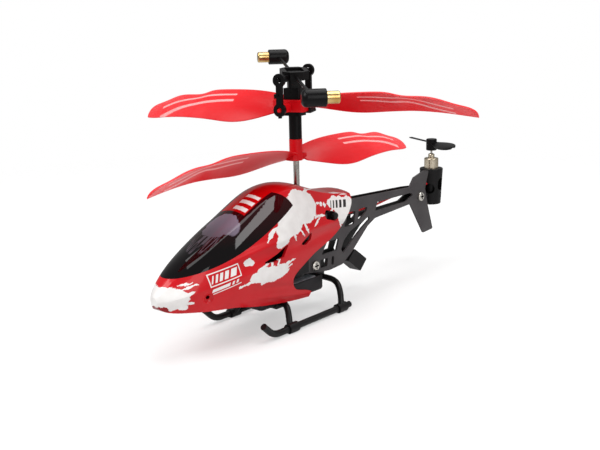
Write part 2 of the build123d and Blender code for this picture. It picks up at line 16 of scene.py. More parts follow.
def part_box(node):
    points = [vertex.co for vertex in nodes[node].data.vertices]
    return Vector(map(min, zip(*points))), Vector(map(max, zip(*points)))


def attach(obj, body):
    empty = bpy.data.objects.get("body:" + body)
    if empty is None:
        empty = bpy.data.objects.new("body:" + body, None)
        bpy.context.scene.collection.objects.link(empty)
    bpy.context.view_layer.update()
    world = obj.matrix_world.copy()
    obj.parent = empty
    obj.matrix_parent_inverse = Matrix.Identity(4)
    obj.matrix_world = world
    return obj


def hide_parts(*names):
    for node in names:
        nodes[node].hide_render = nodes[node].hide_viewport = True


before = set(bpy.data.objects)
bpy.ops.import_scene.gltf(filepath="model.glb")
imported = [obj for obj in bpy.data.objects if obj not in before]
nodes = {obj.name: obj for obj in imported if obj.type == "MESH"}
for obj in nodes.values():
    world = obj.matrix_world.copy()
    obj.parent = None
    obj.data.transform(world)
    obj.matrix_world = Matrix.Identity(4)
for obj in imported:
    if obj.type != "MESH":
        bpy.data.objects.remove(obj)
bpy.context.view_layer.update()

# %% [markdown]
# A material is a small tree of nodes. Two helpers keep the trees short to write: one turns the hex value
# that a designer reads off a colour chart into the linear numbers that the renderer works in, and one adds
# a node with its settings and its links in a single call.

# %% Helpers for colours and nodes
MM = 0.001


def ink(hex_value, alpha=1.0):
    """An sRGB hex value as linear RGBA."""
    channels = [int(hex_value[i:i + 2], 16) / 255 for i in (0, 2, 4)]
    linear = [c / 12.92 if c <= 0.04045 else ((c + 0.055) / 1.055) ** 2.4 for c in channels]
    return (*linear, alpha)


def add(tree, kind, inputs=None, **settings):
    """Adds one node. inputs maps a socket's name or number to a value or to another node's output."""
    node = tree.nodes.new(kind)
    for name, value in settings.items():
        setattr(node, name, value)
    for key, value in (inputs or {}).items():
        if isinstance(value, bpy.types.NodeSocket):
            tree.links.new(value, node.inputs[key])
        else:
            node.inputs[key].default_value = value
    return node


def new_finish(name, **sockets):
    """A material with one Principled shader; sockets gives the values that are the same all over."""
    finish = bpy.data.materials.new(name)
    finish.use_nodes = True
    tree = finish.node_tree
    tree.nodes.clear()
    shader = add(tree, "ShaderNodeBsdfPrincipled")
    for socket, value in sockets.items():
        shader.inputs[socket.replace("_", " ")].default_value = value
    add(tree, "ShaderNodeOutputMaterial", {"Surface": shader.outputs[0]})
    return finish, tree, shader


def place_in_mm(tree):
    """The surface point in the model's own frame, in millimetres."""
    where = add(tree, "ShaderNodeTexCoord")
    return add(tree, "ShaderNodeVectorMath", {0: where.outputs["Object"], "Scale": 1000.0},
               operation="SCALE").outputs["Vector"]


def grain(tree, point, size_mm, detail=2.0, roughness=0.5):
    """Noise whose lumps are about size_mm across."""
    return add(tree, "ShaderNodeTexNoise",
               {"Vector": point, "Scale": 1.0 / size_mm, "Detail": detail, "Roughness": roughness})


def relief(tree, shader, height, depth_mm, strength=1.0):
    """Turns a height from 0 to 1 into a bump that is depth_mm deep."""
    bump = add(tree, "ShaderNodeBump", {"Height": height, "Distance": depth_mm * MM, "Strength": strength})
    tree.links.new(bump.outputs["Normal"], shader.inputs["Normal"])


def spread(tree, value, low, high, start=0.3, end=0.7):
    """Stretches a value from start..end to low..high."""
    return add(tree, "ShaderNodeMapRange",
               {"Value": value, "From Min": start, "From Max": end, "To Min": low, "To Max": high}).outputs[0]


def blend_colours(tree, share, first, second):
    """first where share is 0, second where it is 1."""
    mix = add(tree, "ShaderNodeMix", {"Factor": share}, data_type="RGBA")
    for key, value in ((6, first), (7, second)):
        if isinstance(value, bpy.types.NodeSocket):
            tree.links.new(value, mix.inputs[key])
        else:
            mix.inputs[key].default_value = value
    return mix.outputs[2]


def maths(tree, operation, *values):
    """One Math node; values are numbers or outputs."""
    return add(tree, "ShaderNodeMath", dict(enumerate(values)), operation=operation).outputs[0]


def paint(finish, *names):
    """Gives a finish to whole nodes."""
    for name in names:
        slots = nodes[name].data.materials
        slots.clear()
        slots.append(finish)


print("helpers ready")

# %% [markdown]
# The cabin is thin ABS, moulded and then sprayed: a clear, wet gloss over a red that is never quite even.
# White paint is splashed over it. A splash could be a picture laid on the surface, but here it is drawn by
# the material itself: a handful of ellipses in the side view, joined, with their edges torn by noise that
# is drawn out along the direction of travel. Each drip is one thin ellipse, so it lands where it should.

# %% Splashes as torn ellipses
def ellipse(tree, point, y, z, half_y, half_z, turn=0.0):
    """Distance from an ellipse in the side view, as a share of its size: 1 at the rim."""
    mapped = add(tree, "ShaderNodeMapping",
                 {"Vector": point, "Location": (0, y, z), "Rotation": (math.radians(turn), 0, 0),
                  "Scale": (10000, half_y, half_z)}, vector_type="TEXTURE")
    return add(tree, "ShaderNodeVectorMath", {0: mapped.outputs[0]}, operation="LENGTH").outputs["Value"]


def joined(tree, point, shapes):
    """The nearest of several ellipses."""
    nearest = ellipse(tree, point, *shapes[0])
    for shape in shapes[1:]:
        nearest = maths(tree, "MINIMUM", nearest, ellipse(tree, point, *shape))
    return nearest


def torn(tree, point, reach, size_mm, stretch=(1.0, 1.0), turn=0.0):
    """The point, pushed about in the side view by noise, so that outlines drawn from it look torn."""
    along = add(tree, "ShaderNodeMapping",
                {"Vector": point, "Rotation": (math.radians(turn), 0, 0),
                 "Scale": (1.0, stretch[0], stretch[1])}, vector_type="TEXTURE").outputs[0]
    noise = grain(tree, along, size_mm, detail=3.0, roughness=0.62).outputs["Color"]
    centred = add(tree, "ShaderNodeVectorMath", {0: noise, 1: (0.5, 0.5, 0.5)}, operation="SUBTRACT")
    push = add(tree, "ShaderNodeVectorMath", {0: centred.outputs[0], 1: (0, 2 * reach, 2 * reach)},
               operation="MULTIPLY")
    return add(tree, "ShaderNodeVectorMath", {0: point, 1: push.outputs[0]}, operation="ADD").outputs[0]


def inside(tree, distance, softness=0.02):
    """1 inside a rim, 0 outside it."""
    return spread(tree, distance, 1.0, 0.0, 1 - softness, 1 + softness)


def between(tree, value, low, high, edge=0.05):
    """1 where the value is between two numbers."""
    rise = spread(tree, value, 0.0, 1.0, low - edge, low + edge)
    fall = spread(tree, value, 1.0, 0.0, high - edge, high + edge)
    return maths(tree, "MULTIPLY", rise, fall)


# y, z, half length, half height in millimetres, turn in degrees
shoulder_splash = [
    (-8.6, 40.4, 6.6, 5.4, 10), (-15.4, 37.2, 8.8, 4.4, 26), (-20.6, 32.6, 4.8, 2.2, 35),
    (-12.0, 43.2, 4.6, 3.0, 30), (-25.2, 35.0, 2.8, 0.7, 30), (-26.6, 33.4, 2.2, 0.4, 40),
    (-1.2, 36.3, 3.6, 0.5, -8), (-0.8, 40.3, 1.2, 0.5, 0), (1.2, 39.9, 0.9, 0.8, 0),
    (3.3, 39.3, 0.8, 0.75, 0), (-9.2, 33.4, 0.5, 2.0, 20), (-11.8, 32.6, 0.4, 2.0, 25),
    (-3.0, 34.6, 2.4, 0.45, 30), (-15.6, 32.0, 0.4, 1.8, 20),
]
rear_splash = [(12.4, 38.2, 7.6, 2.4, -9), (13.4, 36.0, 5.4, 2.6, -14), (12.4, 33.6, 3.2, 2.6, 20),
               (17.6, 36.4, 2.8, 3.6, -40), (7.4, 35.0, 2.4, 0.4, 20), (10.6, 31.4, 0.45, 1.9, 12),
               (7.2, 36.8, 2.0, 0.6, 10), (14.6, 32.4, 0.5, 2.0, 10)]
flank_splash = [(-28.8, 21.9, 8.4, 2.7, -2), (-23.6, 22.3, 4.0, 2.2, 4), (-19.4, 24.0, 3.2, 0.5, 16),
                (-20.2, 22.4, 2.8, 0.35, 14), (-21.4, 20.6, 2.6, 0.4, 24), (-38.6, 21.0, 2.8, 0.4, 6),
                (-40.9, 20.4, 0.9, 0.5, 0), (-31.6, 24.9, 2.8, 0.5, 14), (-27.4, 25.4, 0.6, 1.6, -14),
                (-24.4, 25.8, 0.5, 1.6, -20), (-37.0, 27.6, 2.2, 1.15, -10)]
nose_splash = [(-65.4, 20.8, 6.6, 3.8, 0), (-59.4, 24.9, 2.3, 0.3, 10), (-58.4, 24.0, 2.9, 0.28, 12),
               (-59.4, 21.8, 2.3, 0.6, 10), (-59.0, 19.0, 1.9, 0.45, -4), (-60.6, 18.0, 1.6, 0.9, -20)]
roof_scratches = [(-2.0, 45.2, 3.2, 0.12, -10), (8.4, 42.9, 3.6, 0.13, -14), (12.4, 41.6, 2.8, 0.14, -10),
                  (16.0, 41.0, 3.2, 0.10, -14), (17.0, 40.4, 2.4, 0.12, -8), (-4.8, 45.4, 2.0, 0.4, 8)]
print("splashes:", len(shoulder_splash + rear_splash + flank_splash + nose_splash), "ellipses")

# %% [markdown]
# Over the splashes come the printed marks: a plain badge of slanted bars on the side, and a row of dark bars
# on the rear panel. A bar is a band of one coordinate, and it leans when a share of the other is taken off
# first. The moulding also has a crease along its belt and a lip along its lower edge. Both are shallow, so
# they are drawn as relief: a smooth ridge over a line whose height is worked out from how far back it is.

# %% Lacquered ABS of the cabin
ROOF_RED = "C20408"
PAINT_WHITE = "EFEDEB"
# In millimetres: a point on each line, its slope, and how much the belt's line arches over its length
BELT_Y, BELT_Z, BELT_SLOPE, BELT_ARCH = -18.0, 32.0, 0.075, 0.0018
LIP_Y, LIP_Z, LIP_SLOPE = -22.0, 12.6, -0.2
BELT_HALF_WIDTH, CHANNEL_HALF_WIDTH, CHANNEL_DROP, CHANNEL_SHARE = 1.3, 1.9, 3.4, 0.8
LIP_HALF_WIDTH, HOLLOW_HALF_WIDTH, HOLLOW_RISE = 1.5, 1.6, 3.2
CREASE_DEPTH = 0.55


def turned_plate(tree, point, y, z, turn):
    """The side view's two coordinates, measured from a badge's own centre and along its own slope."""
    turned = add(tree, "ShaderNodeMapping",
                 {"Vector": point, "Location": (0, y, z), "Rotation": (math.radians(turn), 0, 0)},
                 vector_type="TEXTURE").outputs[0]
    return add(tree, "ShaderNodeSeparateXYZ", {0: turned}).outputs[1:3]


def box_mask(tree, along, up, half_along, half_up):
    """1 inside a rectangle round the badge's centre."""
    return maths(tree, "MULTIPLY", between(tree, along, -half_along, half_along),
                 between(tree, up, -half_up, half_up))


def stripes(tree, along, up, bars, lean, half_up):
    """Slanted bars, each given by its start and its width."""
    leaning = maths(tree, "ADD", along, maths(tree, "MULTIPLY", up, -lean))
    drawn = 0.0
    for start, width in bars:
        drawn = maths(tree, "MAXIMUM", drawn, between(tree, leaning, start, start + width))
    return maths(tree, "MULTIPLY", drawn, between(tree, up, -half_up, half_up))


def flank_badge(tree, point):
    """A plain badge: a sloping frame with slanted bars in it, and three bars and a line under it."""
    along, up = turned_plate(tree, point, -46.7, 25.5, 8.4)
    frame_rim = maths(tree, "SUBTRACT", box_mask(tree, along, up, 5.75, 2.05),
                      box_mask(tree, along, up, 5.4, 1.72))
    bars = stripes(tree, along, up, ((-4.6, 0.5), (-3.3, 0.8), (-1.8, 1.1), (0.0, 1.4), (2.2, 2.2)),
                   0.5, 1.15)
    along, up = turned_plate(tree, point, -46.3, 22.3, 10.0)
    under = stripes(tree, along, up, ((-5.3, 6.4), (1.9, 0.8), (3.5, 0.8)), 0.5, 0.5)
    line = box_mask(tree, along, maths(tree, "ADD", up, 1.05), 5.2, 0.14)
    under = maths(tree, "MAXIMUM", under, line)
    return maths(tree, "MAXIMUM", maths(tree, "MAXIMUM", frame_rim, bars), under)


def ridge(tree, distance, half_width):
    """A smooth bump that is 1 on the line and fades to 0 over about two half widths."""
    share = maths(tree, "DIVIDE", distance, half_width)
    squared = maths(tree, "MULTIPLY", share, share)
    return maths(tree, "EXPONENT", maths(tree, "MULTIPLY", squared, -1.0))


def side_crease(tree, y, z):
    """Height of the pressed crease: a ridge along the belt with a channel under it, and the lower lip."""
    back = maths(tree, "SUBTRACT", y, BELT_Y)
    line = maths(tree, "ADD", maths(tree, "MULTIPLY", back, BELT_SLOPE), BELT_Z)
    arch = maths(tree, "MULTIPLY", maths(tree, "MULTIPLY", back, back), BELT_ARCH)
    above = maths(tree, "SUBTRACT", z, maths(tree, "SUBTRACT", line, arch))
    channel = ridge(tree, maths(tree, "ADD", above, CHANNEL_DROP), CHANNEL_HALF_WIDTH)
    crease = maths(tree, "SUBTRACT", ridge(tree, above, BELT_HALF_WIDTH),
                   maths(tree, "MULTIPLY", channel, CHANNEL_SHARE))
    crease = maths(tree, "MULTIPLY", crease, spread(tree, y, 0.0, 1.0, -52.0, -38.0))
    # The lower lip flares out as it runs back to its point.
    lip_line = maths(tree, "MULTIPLY", maths(tree, "SUBTRACT", y, LIP_Y), LIP_SLOPE)
    below = maths(tree, "SUBTRACT", z, maths(tree, "ADD", lip_line, LIP_Z))
    hollow = ridge(tree, maths(tree, "SUBTRACT", below, HOLLOW_RISE), HOLLOW_HALF_WIDTH)
    lip = maths(tree, "SUBTRACT", ridge(tree, below, LIP_HALF_WIDTH), hollow)
    lip = maths(tree, "MULTIPLY", lip, spread(tree, y, 0.0, 1.0, -38.0, -28.0))
    return maths(tree, "ADD", crease, lip)


def make_cabin_lacquer():
    # Sprayed ABS: an even red under clear coat. The eye sees a soft light with a sharp one inside it.
    finish, tree, shader = new_finish("lacquered_abs", Roughness=0.28, Coat_Weight=0.3,
                                      Coat_Roughness=0.05, IOR=1.26)
    point = place_in_mm(tree)
    x, y, z = add(tree, "ShaderNodeSeparateXYZ", {0: point}).outputs[:3]
    from_middle = maths(tree, "ABSOLUTE", x)
    cloud = grain(tree, point, 14.0).outputs[0]
    red = blend_colours(tree, spread(tree, cloud, 0.0, 1.0), ink("BE0E18"), ink("CC1620"))
    roof_share = spread(tree, from_middle, 1.0, 0.0, 6.7, 7.1)
    high = spread(tree, z, 0.0, 1.0, 38.2, 38.8)
    roof = maths(tree, "MULTIPLY", roof_share, high)
    red = blend_colours(tree, roof, red, ink(ROOF_RED))
    ragged = torn(tree, point, 1.15, 1.5, stretch=(2.2, 0.9), turn=25)
    sides = inside(tree, joined(tree, ragged, shoulder_splash + rear_splash + flank_splash))
    sides = maths(tree, "MULTIPLY", sides, maths(tree, "SUBTRACT", 1.0, roof))
    ragged_nose = torn(tree, point, 1.0, 1.3, stretch=(2.2, 1.0))
    nose = inside(tree, joined(tree, ragged_nose, nose_splash))
    thin = torn(tree, point, 0.12, 0.8, stretch=(2.0, 1.0))
    scratch = inside(tree, joined(tree, thin, roof_scratches), 0.15)
    scratch = maths(tree, "MULTIPLY", scratch, spread(tree, from_middle, 0.0, 1.0, 4.8, 5.4))
    white = maths(tree, "MAXIMUM", maths(tree, "MAXIMUM", sides, nose), scratch)
    white = maths(tree, "MAXIMUM", white, flank_badge(tree, point))
    paint_white = blend_colours(tree, spread(tree, grain(tree, point, 3.0).outputs[0], 0.0, 1.0),
                                ink(PAINT_WHITE), ink("E6E3E1"))
    colour = blend_colours(tree, white, red, paint_white)
    # The rear panel carries a row of dark slanted bars that get wider towards the tail.
    along, up = turned_plate(tree, point, 12.2, 38.0, -7.0)
    bars = stripes(tree, along, up, ((-5.4, 0.5), (-3.9, 0.8), (-2.1, 1.1), (0.0, 1.4), (2.4, 1.7)),
                   0.45, 1.3)
    colour = blend_colours(tree, bars, colour, ink("2A2527"))
    chin = inside(tree, ellipse(tree, ragged_nose, -66.4, 17.2, 2.2, 1.5, 0))
    colour = blend_colours(tree, chin, colour, ink("8E0F16"))
    tree.links.new(colour, shader.inputs["Base Color"])
    relief(tree, shader, side_crease(tree, y, z), CREASE_DEPTH)
    return finish


cabin_lacquer = make_cabin_lacquer()
paint(cabin_lacquer, "cabin_shell")
print("lacquer nodes:", len(cabin_lacquer.node_tree.nodes))

# %% [markdown]
# The windscreen isn't glass. It is polycarbonate with its inside sprayed almost black, so it reflects like
# water at night; its colour is near black low down and turns a little wine red towards the top. Its top
# strip carries the roof's red across, with three white bars, and a pale splash runs down it in streaks. They
# could be decals of their own, but a decal on a curved sheet shows its edge, so all of it is drawn by place
# in one finish.

# %% Smoked polycarbonate
# y, x, half length, half width in millimetres, turn in degrees
SCREEN_SPLASH = [(-38.2, 1.4, 4.6, 6.0, 0), (-42.2, 0.8, 2.6, 4.2, 0)]
# Where each white bar of the top strip starts and ends, along y in millimetres
SCREEN_BARS = ((-31.2, -29.6), (-28.1, -26.5), (-25.0, -23.6))


def screen_splash(tree, point):
    """An abstract splash with streaks that run down from it, drawn in the plan view."""
    x, y, _ = add(tree, "ShaderNodeSeparateXYZ", {0: point}).outputs[:3]
    plan = add(tree, "ShaderNodeCombineXYZ", {1: y, 2: x}).outputs[0]
    ragged = torn(tree, plan, 0.9, 1.6, stretch=(2.6, 0.8))
    splash = inside(tree, joined(tree, ragged, SCREEN_SPLASH), 0.03)
    drawn_out = add(tree, "ShaderNodeMapping", {"Vector": plan, "Scale": (1.0, 7.0, 0.42)},
                    vector_type="TEXTURE").outputs[0]
    streaks = spread(tree, grain(tree, drawn_out, 1.0, detail=0.0).outputs[0], 0.0, 1.0, 0.55, 0.58)
    streaks = maths(tree, "MULTIPLY", streaks, inside(tree, ellipse(tree, plan, -46.4, 1.2, 6.4, 4.4), 0.05))
    return maths(tree, "MAXIMUM", splash, streaks)


def make_screen():
    # Polycarbonate, polished mould: near black and mirror smooth, with sharp strong reflections.
    finish, tree, shader = new_finish("smoked_polycarbonate", Roughness=0.03, IOR=1.38)
    point = place_in_mm(tree)
    x, y, z = add(tree, "ShaderNodeSeparateXYZ", {0: point}).outputs[:3]
    from_middle = maths(tree, "ABSOLUTE", x)
    # Near black low down, turning a little wine red towards the top.
    depth = blend_colours(tree, spread(tree, z, 0.0, 1.0, 33.0, 45.0), ink("070405"), ink("2E0408"))
    fade = blend_colours(tree, spread(tree, y, 0.0, 1.0, -46.0, -34.0), ink("4E444C"), ink("84788A"))
    depth = blend_colours(tree, screen_splash(tree, point), depth, fade)
    strip = maths(tree, "MULTIPLY", between(tree, from_middle, -1.0, 5.3, 0.1),
                  spread(tree, y, 0.0, 1.0, -32.4, -32.1))
    scuffed = torn(tree, point, 0.25, 0.9)
    along = add(tree, "ShaderNodeSeparateXYZ", {0: scuffed}).outputs[1]
    bars = 0.0
    for front, back in SCREEN_BARS:
        bars = maths(tree, "MAXIMUM", bars, between(tree, along, front, back, 0.08))
    bars = maths(tree, "MULTIPLY", bars, between(tree, x, -0.8, 4.8, 0.1))
    painted = blend_colours(tree, bars, ink(ROOF_RED), ink(PAINT_WHITE))
    tree.links.new(blend_colours(tree, strip, depth, painted), shader.inputs["Base Color"])
    return finish


screen = make_screen()
paint(screen, "windscreen")
print("screen nodes:", len(screen.node_tree.nodes))

# %% [markdown]
# The two side plates are pressed sheet with a satin dark-grey coat; the rest of the frame is black nylon.
# Both want the same three things: a colour that drifts a little, a fine grain from the mould or the coat,
# and a roughness that isn't even, because handled plastic is polished where fingers touch it.

# %% Moulded and coated plastics
DRIFT_SIZE, HANDLED_SIZE = 9.0, 4.0  # millimetres
UNEVEN_GLOSS = 0.05


def make_plastic(name, dark, light, roughness, grain_mm, depth_mm, **sockets):
    """A plastic between two shades, with a grain of grain_mm that is depth_mm deep."""
    finish, tree, shader = new_finish(name, **sockets)
    point = place_in_mm(tree)
    drift = grain(tree, point, DRIFT_SIZE, detail=3.0).outputs[0]
    tree.links.new(blend_colours(tree, spread(tree, drift, 0.0, 1.0), ink(dark), ink(light)),
                   shader.inputs["Base Color"])
    handled = grain(tree, point, HANDLED_SIZE, detail=2.0).outputs[0]
    tree.links.new(spread(tree, handled, roughness - UNEVEN_GLOSS, roughness + UNEVEN_GLOSS),
                   shader.inputs["Roughness"])
    relief(tree, shader, grain(tree, point, grain_mm, detail=1.0).outputs[0], depth_mm, 0.5)
    return finish


# Glass-filled nylon, sparked mould: dull black with a fine grain. Grain drawn at 0.35 mm to show at all.
black_nylon = make_plastic("black_nylon", "0D0C0D", "161415", 0.42, 0.35, 0.012, IOR=1.28)
# Acetal for the moving parts: the same black, but smoother and with a waxy light.
black_acetal = make_plastic("black_acetal", "080708", "100F10", 0.30, 0.5, 0.006, IOR=1.24)
# Powder-coated sheet: an even dark grey with a soft satin light.
coated_plate = make_plastic("powder_coated_plate", "403C3E", "4A4748", 0.46, 0.3, 0.014, IOR=1.32)
# Satin ABS of the battery tray, a shade lighter than the nylon.
tray_plastic = make_plastic("satin_abs", "1F1D1F", "2A272A", 0.45, 0.4, 0.01, IOR=1.35)
# Unfilled nylon of the skids and legs, polished by landings: the same black, with a brighter light on it.
skid_plastic = make_plastic("skid_nylon", "0F0E0F", "181617", 0.34, 0.45, 0.01, IOR=1.36)
# Natural nylon gears: milky, and light goes a little way in.
gear_nylon = make_plastic("natural_nylon", "DAD7CC", "E9E7DF", 0.38, 0.6, 0.006, IOR=1.53,
                          Subsurface_Weight=0.4, Subsurface_Scale=0.001)
# PVC wire insulation, extruded: glossy, with a faint waviness along it.
red_pvc = make_plastic("red_pvc", "B8141A", "CB2026", 0.32, 0.8, 0.01, IOR=1.52)
black_pvc = make_plastic("black_pvc", "141213", "201E1F", 0.32, 0.8, 0.01, IOR=1.52)

paint(coated_plate, "left_frame_plate", "right_frame_plate")


def paint_shade_inside(finish, plate):
    """Painted shade: the plates' inner faces, where shade falls between the plates, are painted dull black,
    so the windows look deep.
    """
    tree = finish.node_tree
    shader = next(n for n in tree.nodes if n.type == "BSDF_PRINCIPLED")
    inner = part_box(plate)[0][0] / MM
    x = add(tree, "ShaderNodeSeparateXYZ", {0: place_in_mm(tree)}).outputs[0]
    in_shade_between_plates = maths(tree, "LESS_THAN", maths(tree, "ABSOLUTE", x), inner + 0.1)
    coated = shader.inputs["Base Color"].links[0].from_socket
    # Painted shade: near black on the inner faces, between the two plates.
    tree.links.new(blend_colours(tree, in_shade_between_plates, coated, ink("0B0A0A")), shader.inputs["Base Color"])
    return inner


print("plates' inner faces at x =", round(paint_shade_inside(coated_plate, "left_frame_plate"), 2), "mm")
paint(black_nylon, "chassis_block", "board_bracket", "charge_socket", "tail_bracket",
      "canopy_peg_left", "canopy_peg_right")
paint(skid_plastic, "left_skid", "right_skid", "front_leg", "rear_leg")
paint(black_acetal, "rotor_head", "flybar_ring", "link_a", "link_b", "blade_clip_a", "blade_clip_b",
      "flybar_weight_a", "flybar_weight_b", "flybar_rod_a", "flybar_rod_b", "tail_rotor")
paint(tray_plastic, "battery_tray")
paint(gear_nylon, "upper_main_gear", "lower_main_gear")
paint(red_pvc, "tail_wire_red")
paint(black_pvc, "tail_wire_black")
print("plastics:", len(bpy.data.materials))

# %% [markdown]
# The rotor blades are moulded in a soft clear-red plastic that bends when it hits a wall. Light passes into
# it and comes out again, so the thin outer half is a lighter red than the thick root. Real transmission
# would be slow and grainy in a blade this thin, so three cheaper things stand for it: light scattered under
# the surface, a red painted paler towards the tip, and a faint painted glow, though the blade is no lamp.
# Two pale printed stripes run along each blade. They are drawn in the rotor's own frame, so each rotor has
# its own azimuth to turn by.

# %% Translucent red blades
# Millimetres: where each stripe starts across the blade, its width, and where both start and end along it
STRIPE_STARTS, STRIPE_WIDTH, STRIPE_SPAN = (-1.6, 1.0), 0.8, (24.0, 57.0)
STRIPE_COVER = 0.55
BLADE_PAINTED_GLOW = 0.14
BLADE_AZIMUTHS = (("upper_rotor", 12.6), ("lower_rotor", 87.0))


def make_blade(name, azimuth):
    # Soft thermoplastic, polished mould: soft sharp lights, and a red painted paler towards the tip for light
    # coming through where it is thin.
    finish, tree, shader = new_finish(name, IOR=1.3, Roughness=0.3, Subsurface_Weight=0.45,
                                      Subsurface_Scale=0.0014)
    shader.inputs["Subsurface Radius"].default_value = (1.0, 0.2, 0.18)
    point = place_in_mm(tree)
    own = add(tree, "ShaderNodeMapping",
              {"Vector": point, "Rotation": (0, 0, math.radians(azimuth))}, vector_type="TEXTURE").outputs[0]
    along, across, _ = add(tree, "ShaderNodeSeparateXYZ", {0: own}).outputs[:3]
    out = maths(tree, "ABSOLUTE", along)
    thin = spread(tree, out, 0.0, 1.0, 12.0, 60.0)
    flow = grain(tree, point, 9.0, detail=2.0).outputs[0]
    pale = blend_colours(tree, spread(tree, flow, 0.0, 1.0), ink("E4343A"), ink("EE4448"))
    # Painted light: the red pales towards the tip, standing for light that comes through the thin outer half.
    red = blend_colours(tree, thin, ink("C20A14"), pale)
    # The sign turns one blade's stripes to the other blade, half a turn round.
    side = maths(tree, "MULTIPLY", across, maths(tree, "SIGN", along))
    first, second = (between(tree, side, start, start + STRIPE_WIDTH, 0.1) for start in STRIPE_STARTS)
    printed = maths(tree, "MAXIMUM", first, second)
    printed = maths(tree, "MULTIPLY", printed, between(tree, out, *STRIPE_SPAN, 0.2))
    red = blend_colours(tree, maths(tree, "MULTIPLY", printed, STRIPE_COVER), red, ink("F7C9C8"))
    tree.links.new(red, shader.inputs["Base Color"])
    # Light from behind comes through a blade 0.9 mm thick; a faint painted glow in the same red stands for
    # it.
    tree.links.new(red, shader.inputs["Emission Color"])
    shader.inputs["Emission Strength"].default_value = BLADE_PAINTED_GLOW
    return finish


for rotor, azimuth in BLADE_AZIMUTHS:
    paint(make_blade("translucent_red_plastic_" + rotor, azimuth), rotor)
    print(rotor, "stripes turned by", azimuth, "degrees")

# %% [markdown]
# Four metals are on this machine: ground steel shafts, nickel-plated screws, turned brass and the drawn can
# of the tail motor. A metal's look is its colour plus the marks of the tool, so each gets fine lines that run
# the way its tool ran: round the axis for what is turned, along it for what is drawn.

# %% Metals
BLOTCH_SIZE = 3.0  # millimetres


def make_metal(name, dark, light, roughness, line_size, depth_mm):
    """line_size gives the width of the tool marks along x, y and z in millimetres."""
    finish, tree, shader = new_finish(name, Metallic=1.0)
    point = place_in_mm(tree)
    stretched = add(tree, "ShaderNodeMapping", {"Vector": point, "Scale": line_size},
                    vector_type="TEXTURE").outputs[0]
    lines = grain(tree, stretched, 1.0, detail=2.0, roughness=0.6).outputs[0]
    blotch = grain(tree, point, BLOTCH_SIZE, detail=3.0).outputs[0]
    tree.links.new(blend_colours(tree, spread(tree, blotch, 0.0, 1.0), ink(dark), ink(light)),
                   shader.inputs["Base Color"])
    tree.links.new(spread(tree, lines, roughness - 0.06, roughness + 0.08), shader.inputs["Roughness"])
    relief(tree, shader, lines, depth_mm, 0.5)
    return finish


# Ground steel: neutral, bright, with rings left by the grinding wheel.
shaft_steel = make_metal("ground_steel", "A9A49E", "C2BDB6", 0.22, (3.0, 3.0, 0.12), 0.004)
# Nickel plate over steel: a little warmer and smoother.
screw_nickel = make_metal("nickel_plate", "CFCBC3", "E0DCD4", 0.2, (0.5, 0.5, 0.5), 0.004)
# Free-cutting brass, turned: golden, with rings round the bar's own axis.
turned_brass = make_metal("turned_brass", "C29C5E", "E2C68E", 0.22, (3.0, 3.0, 2.0), 0.001)
# Drawn and plated can: warm grey, with faint marks down its length.
motor_can = make_metal("plated_motor_can", "C2B49C", "E0D4BE", 0.22, (0.35, 0.35, 6.0), 0.005)

paint(shaft_steel, "inner_shaft", "outer_shaft", "tail_motor_shaft", "left_motor_shaft",
      "right_motor_shaft", "feather_pin", "seesaw_pin")
paint(screw_nickel, "front_screw_left", "front_screw_right", "tail_screw_left", "tail_screw_right")
paint(turned_brass, "flybar_slug_a", "flybar_slug_b", "left_pinion", "right_pinion",
      "upper_bearing", "lower_bearing")
paint(motor_can, "tail_motor")
paint(black_nylon, "left_motor", "right_motor")


CROSS_HALF_WIDTH, CROSS_REACH = 0.3, 1.15  # millimetres


def paint_recess_shade(finish, screws):
    """Painted shade: a dark cross is drawn at each screw's centre for the shade that falls in the cross
    recess.
    """
    tree = finish.node_tree
    shader = next(n for n in tree.nodes if n.type == "BSDF_PRINCIPLED")
    point = place_in_mm(tree)
    _, y, z = add(tree, "ShaderNodeSeparateXYZ", {0: point}).outputs[:3]
    cross = 0.0
    for screw in screws:
        low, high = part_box(screw)
        off_y = maths(tree, "ABSOLUTE", maths(tree, "SUBTRACT", y, (low[1] + high[1]) / 2 / MM))
        off_z = maths(tree, "ABSOLUTE", maths(tree, "SUBTRACT", z, (low[2] + high[2]) / 2 / MM))
        for near, far in ((off_y, off_z), (off_z, off_y)):
            slot = maths(tree, "MULTIPLY", maths(tree, "LESS_THAN", near, CROSS_HALF_WIDTH),
                         maths(tree, "LESS_THAN", far, CROSS_REACH))
            cross = maths(tree, "MAXIMUM", cross, slot)
    plain = shader.inputs["Base Color"].links[0].from_socket
    # Painted shade of the recess: the cross is near black.
    tree.links.new(blend_colours(tree, cross, plain, ink("1E1C1A")), shader.inputs["Base Color"])


paint_recess_shade(screw_nickel, ("front_screw_left", "tail_screw_left"))
print("finishes so far:", len(bpy.data.materials))

# %% [markdown]
# The circuit board is fibreglass under green lacquer. Its copper tracks show as lighter lines because the
# lacquer is thinner over them. A brick pattern with wide joints gives a believable run of tracks. The cell's
# foil is aluminium between two plastic films: duller than bare metal, and creased where it was folded, with
# painted shade along the creases.

# %% Solder mask and pouch foil
def make_board():
    # Solder mask over copper: dark green, half gloss, tracks 0.25 mm wide in relief.
    finish, tree, shader = new_finish("solder_mask", Roughness=0.32, IOR=1.5)
    point = place_in_mm(tree)
    turned = add(tree, "ShaderNodeMapping",
                 {"Vector": point, "Rotation": (math.radians(90), 0, math.radians(90))}).outputs[0]
    tracks = add(tree, "ShaderNodeTexBrick",
                 {"Vector": turned, "Scale": 1.0, "Brick Width": 3.1, "Row Height": 1.1,
                  "Mortar Size": 0.12, "Mortar Smooth": 0.2}, offset=0.37).outputs["Fac"]
    tree.links.new(blend_colours(tree, tracks, ink("123D26"), ink("2C7148")), shader.inputs["Base Color"])
    relief(tree, shader, tracks, 0.04, 0.6)
    return finish


